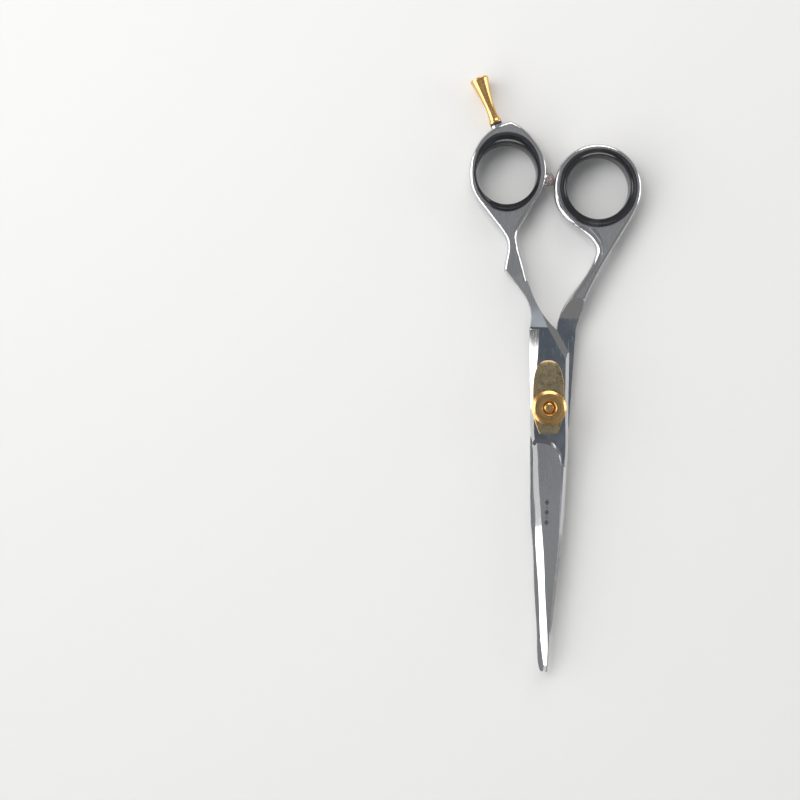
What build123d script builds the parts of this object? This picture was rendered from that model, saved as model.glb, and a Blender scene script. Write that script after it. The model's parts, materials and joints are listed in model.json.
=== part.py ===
from build123d import *
import math
import os

# Thinning shears, closed.  All lengths in millimetres.
# Origin: middle of the pivot screw's flat head, on its resting face.
# +Z runs up the pivot axis to the tension knob, -Y runs to the tips, +X is the thumb's side.

# ---- driving dimensions -------------------------------------------------------------------
RIDE_Z = 3.6            # height of the plane in which the halves slide on each other
RIDE_GAP = 0.02         # each half stands this far off that plane
BLOCK_T = 3.0           # thickness of a half at the pivot
SHANK_T = 2.1           # half height of the shanks and rings, about the ride plane
CLOSE_X = 0.8           # the closed blades mirror each other about this line

CROTCH_Y = 23.4         # where the shanks part

SCREW_R = 2.0           # bearing part of the pivot screw
SCREW_KEY = 1.55        # half width across the screw's flats
THREAD_R = 1.65         # threaded end of the screw, drawn plain
HEAD_R = 4.3            # flat head of the screw
HEAD_T = 0.9
BUSH_R = 2.9
WASHER_R = 4.7
WASHER_T = 0.3

KNOB_R = 5.15
KNOB_T = 2.3
PLATE_T = 0.5
PLATE_TOP_Y = 14.1
PLATE_LOW_Y = -7.8
PLATE_W = 9.4
PLATE_BOW = 0.5
PLATE_TURN = 1.7        # degrees the plate lies off the closing line

FINGER_C = (-14.3, 70.2)        # middle of the finger ring's opening
FINGER_LIP = (10.15, 11.95)     # half widths of the insert's lip
FINGER_BORE = (9.65, 11.3)      # half widths of the hole in the metal
FINGER_HOLE_C = (-14.4, 69.4)   # where the finger goes, a little below the middle
FINGER_HOLE_R = 9.0
THUMB_C = (13.1, 66.25)
THUMB_OUT_R = 13.1
THUMB_LIP_R = 11.85
THUMB_BORE_R = 10.9
THUMB_HOLE_R = 9.4
LIP_T = 0.85                    # thickness of an insert's lip
SLACK = 0.02                    # between an insert and its ring

REST_BASE = (-17.95, 84.9)       # foot of the finger rest
REST_LEAN = 22.5                # degrees from +Y towards the left
REST_LEN = 14.4
REST_END_R = 2.8
REST_WAIST_R = 1.3
REST_FOOT_R = 1.85
REST_STUD_R = 1.2
REST_WASHER_T = 0.75

BUMPER_Y = 68.4
BUMPER_R = 2.1
BUMPER_TIP_X = 0.0
BUMPER_FOOT_X = -2.3
BUMPER_STEM_R = 1.0

TEETH = 30
TOOTH_PITCH = 1.9
SLOT_W = 1.0
SLOT_START_Y = -16.4

TOP = RIDE_Z + BLOCK_T          # outer face of the finger half at the pivot
LOW = RIDE_Z - BLOCK_T          # outer face of the thumb half at the pivot

# Blade stations: (y, cutting edge x, ridge x, spine x, height of the ridge over the ride plane).
PLAIN_BLADE = [
    (-79.3, 1.45, 1.85, 2.2, 0.95),
    (-76.9, 1.12, 1.95, 2.42, 1.1),
    (-73.7, 0.6, 2.05, 2.7, 1.2),
    (-63.6, -0.45, 1.5, 3.4, 1.5),
    (-49.3, -1.5, 0.4, 4.65, 1.85),
    (-36.5, -2.5, -0.75, 5.5, 2.1),
    (-27.6, -3.15, -1.6, 5.95, 2.25),
    (-18.0, -3.65, -2.4, 6.2, 2.2),
    (-13.0, -3.95, -2.75, 6.3, 2.0),
    (-10.6, -4.3, -3.0, 6.3, 1.95),
    (-6.0, -4.5, -3.2, 6.2, 1.7),
]
# The comb blade is given as if it were the plain one, and mirrored when it is made.
COMB_BLADE = [
    (-79.3, 0.45, 0.85, 1.35, 0.9),
    (-76.9, 0.4, 1.2, 2.05, 1.05),
    (-73.7, 0.55, 1.6, 2.4, 1.2),
    (-63.6, -0.45, 1.2, 3.0, 1.5),
    (-49.3, -1.5, 0.3, 4.15, 1.85),
    (-36.5, -2.5, -0.75, 5.25, 2.1),
] + [(y, cut, ridge, spine - 0.1, high) for y, cut, ridge, spine, high in PLAIN_BLADE[6:]]
PLAIN_TIP = (1.84, -78.7, 0.42)     # middle and radius of the rounded tip
COMB_TIP = (0.9, -78.65, 0.46)
BLOCK_LEFT = [(-4.3, -10.9), (-4.75, -8.5), (-5.2, 0.0), (-5.5, 6.7), (-5.9, 16.2),
              (-6.2, CROTCH_Y)]
BLOCK_RIGHT = [(6.1, -17.5), (6.35, -8.2), (6.1, 0.0), (6.0, 7.0), (5.9, 16.6)]
BLOCK_LEFT_IN = [(-3.5, -10.9), (-3.9, -8.5), (-4.2, 0.0), (-4.1, 6.7), (-3.6, 16.2),
                 (-3.4, CROTCH_Y)]
BLOCK_RIGHT_IN = [(5.2, -17.5), (5.4, -8.2), (5.0, 0.0), (4.9, 7.0), (4.7, 16.6)]
# The curved step between the pivot block and the blade's face: foot line and upper line.
STEP_EDGE = [(-6.5, -10.5), (-2.5, -10.4), (0.6, -10.8), (3.6, -12.5), (5.2, -15.6),
             (5.7, -19.5)]
STEP_INSET = [(-6.5, -9.3), (-2.5, -9.3), (0.4, -9.6), (2.9, -11.2), (4.3, -14.8),
              (4.7, -19.5)]


def line_or_spline(points, z):
    """A straight edge for two points, a smooth one for more, at height z."""
    where = [Vector(x, y, z) for x, y in points]
    if len(where) == 2:
        return Line(where[0], where[1])
    return Spline(*where)


def plan_face(pieces, z):
    """A flat face at height z whose border is made of runs of points, end to end."""
    edges = [line_or_spline(run, z) for run in pieces]
    return make_face(edges)


def prism(pieces, z0, z1):
    """The plan shape carried straight up from z0 to z1."""
    return extrude(plan_face(pieces, z0), amount=z1 - z0, dir=(0, 0, 1))


def side_prism(points, x0, x1):
    """A solid whose outline in the YZ plane is given, between two x values."""
    face = make_face(Polyline(*[Vector(x0, y, z) for y, z in points], close=True))
    return extrude(face, amount=x1 - x0, dir=(1, 0, 0))


def bevel_tool(edge, inset, z_edge, z_top, side):
    """A cutter for one bevel: its sloping wall passes through the edge line at z_edge and the
    inset line at z_top.  side is the direction (x, y) that points away from the metal."""
    reach = 1.0
    low, high = [], []
    for (ex, ey), (ix, iy) in zip(edge, inset):
        dx, dy = ex - ix, ey - iy
        low.append((ex + reach * dx, ey + reach * dy))
        high.append((ix - reach * dx, iy - reach * dy))
    z_low = z_edge - reach * (z_top - z_edge)
    z_high = z_top + reach * (z_top - z_edge)
    far = 14.0

    def pane(points, z):
        out = [(x + far * side[0], y + far * side[1]) for x, y in reversed(points)]
        return plan_face([points, [points[-1], out[0]], out, [out[-1], points[0]]], z)

    return loft([pane(low, z_low), pane(high, z_high)], ruled=True)


def round_tool(edge, inset, z_edge, z_top, side):
    """A cutter like bevel_tool's whose wall bulges as a quarter of an ellipse."""
    steps = [(-0.15, 1.06), (0.17, 0.985), (0.42, 0.906), (0.707, 0.707), (0.906, 0.42),
             (1.0, 0.0), (1.25, -0.55)]
    far = 14.0
    panes = []
    for out, up in steps:
        z = z_edge + up * (z_top - z_edge)
        run = [(ix + out * (ex - ix), iy + out * (ey - iy))
               for (ex, ey), (ix, iy) in zip(edge, inset)]
        back = [(x + far * side[0], y + far * side[1]) for x, y in reversed(run)]
        panes.append(plan_face([run, [run[-1], back[0]], back, [back[-1], run[0]]], z))
    return loft(panes)


def flipped(points):
    """Plan stations mirrored about the closing line."""
    return [(2.0 * CLOSE_X - x, y) for x, y in points]


def under(solid):
    """The solid mirrored through the ride plane."""
    return mirror(solid, about=Plane((0, 0, RIDE_Z), z_dir=(0, 0, 1)))


def blade_section(cut, ridge, spine, height, y):
    """Cross-section of the plain blade, with a hollow inner face."""
    z = RIDE_Z + RIDE_GAP
    lip = 0.22
    width = spine - cut
    flat = min(0.55, 0.14 * width)
    hollow = 0.16 if width > 2.0 else 0.05
    spine_in = min(1.0, 0.2 * width)
    points = [
        (cut, z),
        (cut, z + lip),
        (ridge, z + height),
        (spine - spine_in, z + height * 0.93),
        (spine, z + height * 0.5),
        (spine, z),
        (spine - flat, z),
        (0.5 * (spine + cut), z + hollow),
        (cut + flat, z),
    ]
    return make_face(Polyline(*[Vector(px, y, pz) for px, pz in points], close=True))


def round_end(x, y, radius):
    """A cutter that leaves a round end of that radius and removes what lies beyond it."""
    block = Pos(x, y, -1) * Box(8, 8, 10, align=(Align.CENTER, Align.MAX, Align.MIN))
    return block - Pos(x, y, -1) * Cylinder(
        radius, 10, align=(Align.CENTER, Align.CENTER, Align.MIN))


def blade(stations, tip):
    """One lofted blade with a ridge and a hollow inner face, above the ride plane."""
    sections = [blade_section(cut, ridge, spine, high, y)
                for y, cut, ridge, spine, high in stations]
    return loft(sections) - round_end(*tip)


def finger_ring():
    """Metal of the finger ring: an oval with a low crown at the top, round outside."""
    cx, cy = FINGER_C
    left = [(-13.9, 57.1), (-19.6, 58.4), (-23.1, 62.1), (-24.8, 65.4), (-25.4, 69.7),
            (-25.1, 73.7), (-23.9, 77.0), (-22.2, 79.9), (-19.5, 82.6), (-13.5, 85.4)]
    right = [(-13.5, 85.4), (-9.3, 83.1), (-6.0, 79.7), (-3.7, 76.2), (-2.4, 72.0),
             (-2.6, 67.6), (-4.9, 62.6), (-8.6, 58.6), (-13.9, 57.1)]
    blank = prism([left, right], RIDE_Z - SHANK_T, RIDE_Z + SHANK_T)
    crown = blank.edges().filter_by(Axis.Z).sort_by(Axis.Y)[-1]
    blank = fillet(crown, radius=1.6)
    rims = [e for e in blank.edges() if abs(e.tangent_at(0.5).Z) < 0.1]
    return fillet(rims, radius=1.1)


def finger_hole_cut():
    """The oval opening in the metal."""
    a, b = FINGER_BORE
    oval = Pos(FINGER_C[0], FINGER_C[1], -2) * Ellipse(a, b)
    return extrude(oval, amount=14)


def rest_frame():
    """Plane at the finger rest's foot, with +Z along its axis."""
    lean = math.radians(REST_LEAN)
    axis = (-math.sin(lean), math.cos(lean), 0)
    return Plane(origin=(REST_BASE[0], REST_BASE[1], RIDE_Z), z_dir=axis, x_dir=(0, 0, 1))


def make_finger_blade():
    """Plain blade, pivot block, shank and finger ring in one piece."""
    shank_left = [(-6.2, CROTCH_Y), (-9.4, 35.4), (-11.9, 38.3), (-14.2, 41.2)]
    neck_left = [(-14.2, 41.2), (-13.75, 44.6), (-13.4, 48.2), (-14.2, 50.7), (-16.9, 54.4),
                 (-20.1, 58.3), (-23.0, 62.3)]
    diagonal = [(5.9, 16.6), (1.9, CROTCH_Y)]
    shank_right = [(1.9, CROTCH_Y), (-6.5, 35.9), (-8.4, 41.9), (-10.4, 49.0)]
    neck_right = [(-10.4, 49.0), (-10.5, 51.9), (-8.6, 55.9), (-5.4, 62.2), (-3.4, 65.6)]
    border = [
        BLOCK_LEFT,
        shank_left,
        neck_left,
        [neck_left[-1], neck_right[-1]],
        list(reversed(neck_right)),
        list(reversed(shank_right)),
        list(reversed(diagonal)),
        list(reversed(BLOCK_RIGHT)),
        [BLOCK_RIGHT[0], BLOCK_LEFT[0]],
    ]
    body = prism(border, RIDE_Z - SHANK_T, TOP)
    inner = RIDE_Z + RIDE_GAP
    body -= side_prism([(-30, -2), (-30, inner), (27.0, inner), (33.0, RIDE_Z - SHANK_T),
                        (33.0, -2)], -40, 40)
    high = RIDE_Z + SHANK_T
    body -= side_prism([(24.0, TOP + 3), (24.0, TOP), (39.0, high), (80.0, high),
                        (80.0, TOP + 3)], -40, 40)

    body -= bevel_tool(BLOCK_LEFT, BLOCK_LEFT_IN, TOP - 1.1, TOP, (-1, 0))
    body -= bevel_tool(BLOCK_RIGHT, BLOCK_RIGHT_IN, TOP - 1.2, TOP, (1, 0))
    body -= bevel_tool([(9.2, 11.0), (-4.1, 33.4)], [(7.5, 9.9), (-5.9, 32.4)],
                       TOP - 0.9, TOP, (0.87, 0.5))
    body -= bevel_tool(STEP_EDGE, STEP_INSET, TOP - 0.9, TOP, (0, -1))

    z_edge = high - 1.3
    left = round_tool([(-6.2, CROTCH_Y), (-9.4, 35.4), (-11.9, 38.3), (-14.2, 41.2)],
                      [(-5.0, CROTCH_Y - 0.4), (-8.5, 34.7), (-11.1, 37.6), (-13.5, 40.6)],
                      z_edge, high, (-1, 0))
    neck = round_tool([(-14.2, 41.0), (-13.75, 44.6), (-13.4, 48.2), (-14.2, 50.7),
                       (-16.9, 54.4), (-20.1, 58.3), (-23.0, 62.3)],
                      [(-13.5, 41.0), (-13.05, 44.6), (-12.75, 48.3), (-13.5, 51.1),
                       (-16.2, 55.0), (-19.5, 59.1), (-22.4, 63.3)],
                      z_edge, high, (-1, 0))
    right = round_tool([(-3.4, 31.8), (-6.5, 35.9), (-8.4, 41.9), (-10.4, 49.0),
                        (-10.5, 51.9), (-8.6, 55.9), (-5.4, 62.2), (-3.4, 65.6)],
                       [(-4.9, 30.9), (-7.6, 35.3), (-9.4, 41.6), (-11.5, 48.9),
                        (-11.8, 51.9), (-10.1, 56.6), (-6.6, 62.6), (-4.4, 66.0)],
                       z_edge, high, (1, 0))
    for tool in (left, neck, right):
        body -= tool
        keep = side_prism([(29.0, -3), (29.0, 12), (90.0, 12), (90.0, -3)], -60, 60)
        body -= under(tool) & keep

    body += finger_ring()
    body += blade(PLAIN_BLADE, PLAIN_TIP)
    foot = rest_frame()
    boss = foot.offset(-REST_WASHER_T - 2.6) * Cylinder(
        2.0, 2.6 - SLACK, align=(Align.CENTER, Align.CENTER, Align.MIN))
    body += boss
    seat = Plane(origin=(BUMPER_FOOT_X - 1.4, BUMPER_Y, RIDE_Z), z_dir=(1, 0, 0))
    body += seat * Cylinder(1.9, 1.38, align=(Align.CENTER, Align.CENTER, Align.MIN))
    body -= finger_hole_cut()
    body -= foot.offset(-REST_WASHER_T - 2.3) * Cylinder(
        REST_STUD_R + 0.04, 4.0, align=(Align.CENTER, Align.CENTER, Align.MIN))
    body -= Plane(origin=(BUMPER_FOOT_X - 1.2, BUMPER_Y, RIDE_Z), z_dir=(1, 0, 0)) * Cylinder(
        BUMPER_STEM_R + SLACK, 3.0, align=(Align.CENTER, Align.CENTER, Align.MIN))
    body -= keyed_bar(SCREW_R + 0.02, SCREW_KEY + 0.02, RIDE_Z - 1, TOP + 1)
    return body


def keyed_bar(radius, half_flat, z0, z1):
    """A round bar with two flats."""
    bar = Pos(0, 0, z0) * Cylinder(radius, z1 - z0, align=(Align.CENTER, Align.CENTER, Align.MIN))
    bar &= Pos(0, 0, z0) * Box(2 * half_flat, 4 * radius, z1 - z0,
                               align=(Align.CENTER, Align.CENTER, Align.MIN))
    return bar


def comb_teeth_cut():
    """Cutters for the comb: round-ended slots, and a small notch in every tooth's tip."""
    edge = [(2 * CLOSE_X - station[1], station[0]) for station in reversed(COMB_BLADE)]
    cutters = []

    def edge_x(y):
        for (xa, ya), (xb, yb) in zip(edge, edge[1:]):
            if ya >= y >= yb:
                return xa + (xb - xa) * (y - ya) / (yb - ya)
        return edge[0][0]

    for i in range(TEETH - 1):
        y = SLOT_START_Y - i * TOOTH_PITCH
        x_in = 1.1 - 0.8 * i / (TEETH - 2)
        reach = 8.0 - x_in
        slot = Pos(x_in + reach / 2, y, 0) * Box(
            reach, SLOT_W, 3.7, align=(Align.CENTER, Align.CENTER, Align.MIN))
        slot += Pos(x_in, y, 0) * Cylinder(
            SLOT_W / 2, 3.7, align=(Align.CENTER, Align.CENTER, Align.MIN))
        cutters.append(slot)
    for i in range(TEETH):
        y = SLOT_START_Y + (0.5 - i) * TOOTH_PITCH
        x = edge_x(y)
        notch = make_face(Polyline(
            Vector(x - 0.35, y, 0), Vector(x + 0.4, y - 0.42, 0), Vector(x + 0.4, y + 0.42, 0),
            close=True))
        cutters.append(extrude(notch, amount=3.7, dir=(0, 0, 1)))
    return cutters


def thumb_ring():
    """Metal of the thumb ring, round outside."""
    blank = Pos(THUMB_C[0], THUMB_C[1], RIDE_Z) * Cylinder(THUMB_OUT_R, 2 * SHANK_T)
    return fillet(blank.edges().filter_by(GeomType.CIRCLE), radius=1.1)


def make_thumb_blade():
    """Comb blade, pivot block, shank and thumb ring in one piece."""
    block_right = flipped(BLOCK_LEFT)
    block_left = flipped(BLOCK_RIGHT)
    shank_right = [block_right[-1], (12.1, 36.5), (17.3, 46.6), (20.7, 52.5), (24.1, 58.7),
                   (26.0, 63.7)]
    shank_left = [(2.2, CROTCH_Y), (7.8, 36.3), (12.3, 44.0), (13.3, 47.3)]
    neck_left = [(13.3, 47.3), (12.8, 49.1), (11.6, 50.8), (9.4, 52.7), (4.3, 56.2),
                 (1.1, 60.2), (0.1, 65.0)]
    diagonal = [block_left[-1], (2.2, CROTCH_Y)]
    border = [
        block_right,
        shank_right,
        [shank_right[-1], neck_left[-1]],
        list(reversed(neck_left)),
        list(reversed(shank_left)),
        list(reversed(diagonal)),
        list(reversed(block_left)),
        [block_left[0], block_right[0]],
    ]
    high = RIDE_Z + SHANK_T
    body = prism(border, LOW, high)
    inner = RIDE_Z - RIDE_GAP
    body -= side_prism([(-30, 12), (-30, inner), (27.0, inner), (33.0, high), (33.0, 12)],
                       -40, 40)
    low = RIDE_Z - SHANK_T
    body -= side_prism([(24.0, -3), (24.0, LOW), (39.0, low), (80.0, low), (80.0, -3)],
                       -40, 40)

    left_in = flipped(BLOCK_RIGHT_IN)
    right_in = flipped(BLOCK_LEFT_IN)
    body -= under(bevel_tool(block_right, right_in, TOP - 1.1, TOP, (1, 0)))
    body -= under(bevel_tool(block_left, left_in, TOP - 1.2, TOP, (-1, 0)))
    body -= under(bevel_tool([(-7.5, 11.2), (5.7, 33.5)], [(-5.9, 10.0), (7.3, 32.4)],
                             TOP - 0.9, TOP, (-0.87, 0.5)))
    body -= under(bevel_tool(flipped(STEP_EDGE), flipped(STEP_INSET), TOP - 0.9, TOP, (0, -1)))

    z_edge = high - 1.3
    right = round_tool([(8.2, 25.0), (12.1, 36.5), (17.3, 46.6), (20.7, 52.5), (24.1, 58.7),
                        (26.0, 63.7)],
                       [(7.1, 25.4), (11.0, 37.0), (16.3, 47.2), (19.6, 53.2), (22.9, 59.3),
                        (24.9, 63.9)],
                       z_edge, high, (1, 0))
    left = round_tool([(2.9, 25.4), (7.8, 36.3), (12.3, 44.0), (13.3, 47.3)],
                      [(4.2, 24.9), (9.3, 35.8), (14.1, 43.2), (15.3, 46.9)],
                      z_edge, high, (-1, 0))
    neck = round_tool([(0.1, 65.0), (1.1, 60.2), (4.3, 56.2), (9.4, 52.7), (11.6, 50.8),
                       (12.8, 49.1), (13.3, 46.9)],
                      [(1.3, 65.2), (2.6, 60.8), (6.0, 57.4), (11.8, 54.5), (14.0, 52.3),
                       (15.0, 50.0), (15.4, 46.5)],
                      z_edge, high, (-1, 0))
    keep = side_prism([(29.0, -3), (29.0, 12), (90.0, 12), (90.0, -3)], -60, 60)
    for tool in (right, left, neck):
        body -= tool & keep
        body -= under(tool)

    comb = under(blade(COMB_BLADE, COMB_TIP))
    comb = mirror(comb, about=Plane((CLOSE_X, 0, 0), z_dir=(1, 0, 0)))
    for cutter in comb_teeth_cut():
        comb -= cutter
    body += comb
    body += thumb_ring()
    body -= Pos(THUMB_C[0], THUMB_C[1], RIDE_Z) * Cylinder(THUMB_BORE_R, 20)
    body -= Pos(0, 0, RIDE_Z) * Cylinder(BUSH_R + 0.01, 20)
    body -= Pos(0, 0, -1) * Cylinder(
        WASHER_R + 0.1, 1 + HEAD_T + WASHER_T + SLACK,
        align=(Align.CENTER, Align.CENTER, Align.MIN))
    return body


def disc(radius, z0, z1):
    """A plain round disc on the pivot axis."""
    return Pos(0, 0, z0) * Cylinder(radius, z1 - z0,
                                    align=(Align.CENTER, Align.CENTER, Align.MIN))


def turned(profile, frame):
    """A body turned from a profile of (radius, height) corners, axis along frame's +Z."""
    face = make_face(Polyline(*[Vector(r, 0, z) for r, z in profile], close=True))
    return frame * revolve(face, axis=Axis.Z)


def make_pivot_screw():
    """Flat head, round bearing, two-flat key and a plain-drawn thread with a domed top."""
    plate_top = TOP + RIDE_GAP + PLATE_BOW + PLATE_T
    head = disc(HEAD_R, 0, HEAD_T - SLACK)
    head = chamfer(head.edges().filter_by(GeomType.CIRCLE).sort_by(Axis.Z)[0], length=0.25)
    key = keyed_bar(SCREW_R, SCREW_KEY, RIDE_Z - 0.05, plate_top)
    stem_top = plate_top + 1.8
    dome = [(0, stem_top - 2.2), (THREAD_R, stem_top - 2.2), (THREAD_R, stem_top),
            (1.5, stem_top + 0.25), (1.1, stem_top + 0.45), (0.6, stem_top + 0.55),
            (0, stem_top + 0.58)]
    return head + disc(SCREW_R, 0.4, RIDE_Z) + key + turned(dome, Plane.XY)


def make_pivot_bush():
    """Bearing sleeve in the thumb half."""
    z0 = HEAD_T + WASHER_T + SLACK
    return disc(BUSH_R, z0, RIDE_Z - RIDE_GAP) - disc(SCREW_R + 0.04, z0 - 1, RIDE_Z + 1)


def make_head_washer():
    """Slip washer between the thumb half and the screw's head."""
    return disc(WASHER_R, HEAD_T, HEAD_T + WASHER_T) - disc(SCREW_R + 0.06, 0, 5)


def make_spring_plate():
    """Bowed leaf spring: round at the top, cut square and narrower at the lower end."""
    foot = TOP + RIDE_GAP
    y_top, y_low = PLATE_TOP_Y + 0.6, PLATE_LOW_Y - 0.6
    y_mid = 0.5 * (y_top + y_low)
    lower = ThreePointArc(Vector(-9, y_top, foot), Vector(-9, y_mid, foot + PLATE_BOW),
                          Vector(-9, y_low, foot))
    upper = ThreePointArc(Vector(-9, y_low, foot + PLATE_T),
                          Vector(-9, y_mid, foot + PLATE_BOW + PLATE_T),
                          Vector(-9, y_top, foot + PLATE_T))
    ends = [Line(lower @ 1, upper @ 0), Line(upper @ 1, lower @ 0)]
    band = extrude(make_face([lower, ends[0], upper, ends[1]]), amount=18, dir=(1, 0, 0))
    half = PLATE_W / 2
    right = [(1.4, PLATE_TOP_Y), (2.8, PLATE_TOP_Y - 0.9), (3.7, 11.6), (half - 0.35, 9.2),
             (half, 5.5), (half, 2.0), (half - 0.3, -2.0), (3.6, -5.3), (2.65, PLATE_LOW_Y)]
    left = [(-x, y) for x, y in right]
    outline = [
        right,
        [right[-1], left[-1]],
        list(reversed(left)),
        [left[0], right[0]],
    ]
    plate = Rot(0, 0, PLATE_TURN) * (band & prism(outline, 0, 12))
    return plate - keyed_bar(SCREW_R + 0.08, SCREW_KEY + 0.08, 0, 12)


def make_knob_washer():
    """Thrust washer between the spring plate and the knob."""
    z0 = TOP + RIDE_GAP + PLATE_BOW + PLATE_T + SLACK
    return disc(3.6, z0, z0 + 0.35) - disc(SCREW_R + 0.1, 0, 12)


def make_tension_knob():
    """Turned knob: bevelled rim, a fine groove round its side, countersunk centre hole."""
    z0 = TOP + RIDE_GAP + PLATE_BOW + PLATE_T + 0.35 + 2 * SLACK
    r, t = KNOB_R, KNOB_T
    bore = THREAD_R + 0.05
    profile = [
        (bore, 0), (r - 0.45, 0), (r - 0.1, 0.3), (r - 0.1, 0.65), (r - 0.3, 0.8),
        (r - 0.1, 0.95), (r, 1.05), (r, t - 0.75), (r - 0.15, t - 0.55), (r - 0.95, t - 0.06),
        (r - 1.15, t), (bore + 0.3, t), (bore, t - 0.35),
    ]
    return turned([(x, z0 + z) for x, z in profile], Plane.XY)


def ring_insert(centre, lip, bore, hole_c, hole_r, edge_r, mouth_r):
    """Plastic insert: a sleeve in the ring's hole with a lip over each face."""
    z_face = SHANK_T + 0.01
    sleeve = extrude(Ellipse(bore[0] - SLACK, bore[1] - SLACK), amount=z_face + 0.1, both=True)
    plate = Pos(0, 0, z_face) * extrude(Ellipse(lip[0], lip[1]), amount=LIP_T)
    rim = plate.edges().sort_by(Axis.Z)[-1]
    plate = fillet(rim, radius=edge_r)
    body = sleeve + plate + mirror(plate, about=Plane.XY)
    body -= Pos(hole_c[0] - centre[0], hole_c[1] - centre[1], 0) * Cylinder(hole_r, 20)
    mouths = [e for e in body.edges().filter_by(GeomType.CIRCLE)
              if abs(e.radius - hole_r) < 0.01]
    body = fillet(mouths, radius=mouth_r)
    return Pos(centre[0], centre[1], RIDE_Z) * body


def make_finger_rest():
    """Flared spool with a threaded stud, drawn plain, that screws into the finger ring."""
    profile = [(REST_FOOT_R, 0.0), (REST_FOOT_R, 0.4)]
    flare = Spline(
        Vector(REST_FOOT_R, 0, 0.4), Vector(1.5, 0, 2.2), Vector(REST_WAIST_R, 0, 4.9),
        Vector(1.55, 0, 8.6), Vector(2.2, 0, 11.7), Vector(REST_END_R, 0, 13.5))
    cap = Spline(
        Vector(REST_END_R, 0, 13.5), Vector(2.6, 0, 14.0), Vector(1.6, 0, 14.3),
        Vector(0, 0, REST_LEN))
    edges = [
        Line(Vector(0, 0, 0), Vector(REST_FOOT_R, 0, 0)),
        Line(Vector(REST_FOOT_R, 0, 0), Vector(REST_FOOT_R, 0, 0.4)),
        flare,
        cap,
        Line(Vector(0, 0, REST_LEN), Vector(0, 0, 0)),
    ]
    spool = revolve(make_face(edges), axis=Axis.Z)
    stud = Pos(0, 0, -REST_WASHER_T - 2.0) * Cylinder(
        REST_STUD_R, REST_WASHER_T + 2.2, align=(Align.CENTER, Align.CENTER, Align.MIN))
    return rest_frame() * (spool + stud)


def make_rest_washer():
    """Dark washer under the finger rest."""
    ring = Cylinder(1.8, REST_WASHER_T - 2 * SLACK,
                    align=(Align.CENTER, Align.CENTER, Align.MIN))
    ring = fillet(ring.edges().filter_by(GeomType.CIRCLE), radius=0.2)
    ring -= Cylinder(REST_STUD_R + 0.05, 10)
    return rest_frame().offset(-REST_WASHER_T + SLACK) * ring


def make_bumper():
    """Ribbed silencer with a stem pressed into the finger ring."""
    length = BUMPER_TIP_X - 0.06 - BUMPER_FOOT_X - SLACK
    r = BUMPER_R
    profile = [
        (0, -1.1), (BUMPER_STEM_R, -1.1), (BUMPER_STEM_R, 0), (r - 0.15, 0), (r, 0.12),
        (r, 0.42), (r - 0.22, 0.6), (r, 0.78), (r, 1.08), (r - 0.22, 1.26), (r, 1.44),
        (r - 0.05, 1.7), (r - 0.4, length - 0.15), (r - 0.9, length), (0, length),
    ]
    frame = Plane(origin=(BUMPER_FOOT_X + SLACK, BUMPER_Y, RIDE_Z), z_dir=(1, 0, 0),
                  x_dir=(0, 1, 0))
    return turned(profile, frame)


def save(name, shape):
    """Write one piece as STEP."""
    solids = shape.solids()
    print(name, "solids", len(solids), "volume", round(sum(s.volume for s in solids), 1))
    export_step(shape, os.path.join("parts", name + ".step"))


def main():
    """Build and save every piece."""
    os.makedirs("parts", exist_ok=True)
    save("finger_blade", make_finger_blade())
    save("thumb_blade", make_thumb_blade())
    save("pivot_screw", make_pivot_screw())
    save("pivot_bush", make_pivot_bush())
    save("head_washer", make_head_washer())
    save("spring_plate", make_spring_plate())
    save("knob_washer", make_knob_washer())
    save("tension_knob", make_tension_knob())
    save("finger_insert",
         ring_insert(FINGER_C, FINGER_LIP, FINGER_BORE, FINGER_HOLE_C, FINGER_HOLE_R,
                     0.35, 0.6))
    save("thumb_insert",
         ring_insert(THUMB_C, (THUMB_LIP_R, THUMB_LIP_R - 0.001),
                     (THUMB_BORE_R, THUMB_BORE_R - 0.001), THUMB_C, THUMB_HOLE_R, 0.5, 1.2))
    save("finger_rest", make_finger_rest())
    save("rest_washer", make_rest_washer())
    save("bumper", make_bumper())


main()
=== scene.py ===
"""Thinning shears: finishes and fine detail around the packed model.

Lengths are metres.  +Z runs up the pivot axis, -Y to the tips and +X to the thumb's side.
"""

import json
import math

import bpy
import numpy as np
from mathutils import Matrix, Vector


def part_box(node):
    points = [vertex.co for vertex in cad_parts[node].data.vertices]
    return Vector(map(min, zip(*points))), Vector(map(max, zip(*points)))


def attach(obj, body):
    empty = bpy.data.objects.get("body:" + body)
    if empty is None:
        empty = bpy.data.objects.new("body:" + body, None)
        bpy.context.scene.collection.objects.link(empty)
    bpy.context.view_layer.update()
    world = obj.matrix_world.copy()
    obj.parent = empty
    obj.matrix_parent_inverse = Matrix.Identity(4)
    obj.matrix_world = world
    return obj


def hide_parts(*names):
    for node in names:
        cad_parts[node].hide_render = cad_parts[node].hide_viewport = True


bl_info = {
    "name": "Thinning shears",
    "version": (1, 0, 0),
    "blender": (4, 5, 0),
    "location": "View3D > Sidebar > Shears",
    "description": "Finishes and fine detail for a pair of thinning shears",
    "category": "Object",
}

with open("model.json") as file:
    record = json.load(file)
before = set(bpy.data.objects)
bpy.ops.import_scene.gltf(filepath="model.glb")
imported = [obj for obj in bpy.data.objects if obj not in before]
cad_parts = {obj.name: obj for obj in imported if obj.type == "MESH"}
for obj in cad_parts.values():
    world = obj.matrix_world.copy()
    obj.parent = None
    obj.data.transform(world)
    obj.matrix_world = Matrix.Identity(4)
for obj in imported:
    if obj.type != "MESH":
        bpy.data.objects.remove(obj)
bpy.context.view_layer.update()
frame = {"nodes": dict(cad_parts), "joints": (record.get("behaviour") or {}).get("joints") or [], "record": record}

MM = 0.001
JOINTS = {joint["name"]: joint for joint in frame["joints"]}
MOUNTS = {mount["name"]: mount for mount in frame["record"]["mounts"]}


def middle(node):
    """Middle of a packed node's box."""
    low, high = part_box(node)
    return 0.5 * (low + high)


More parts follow.
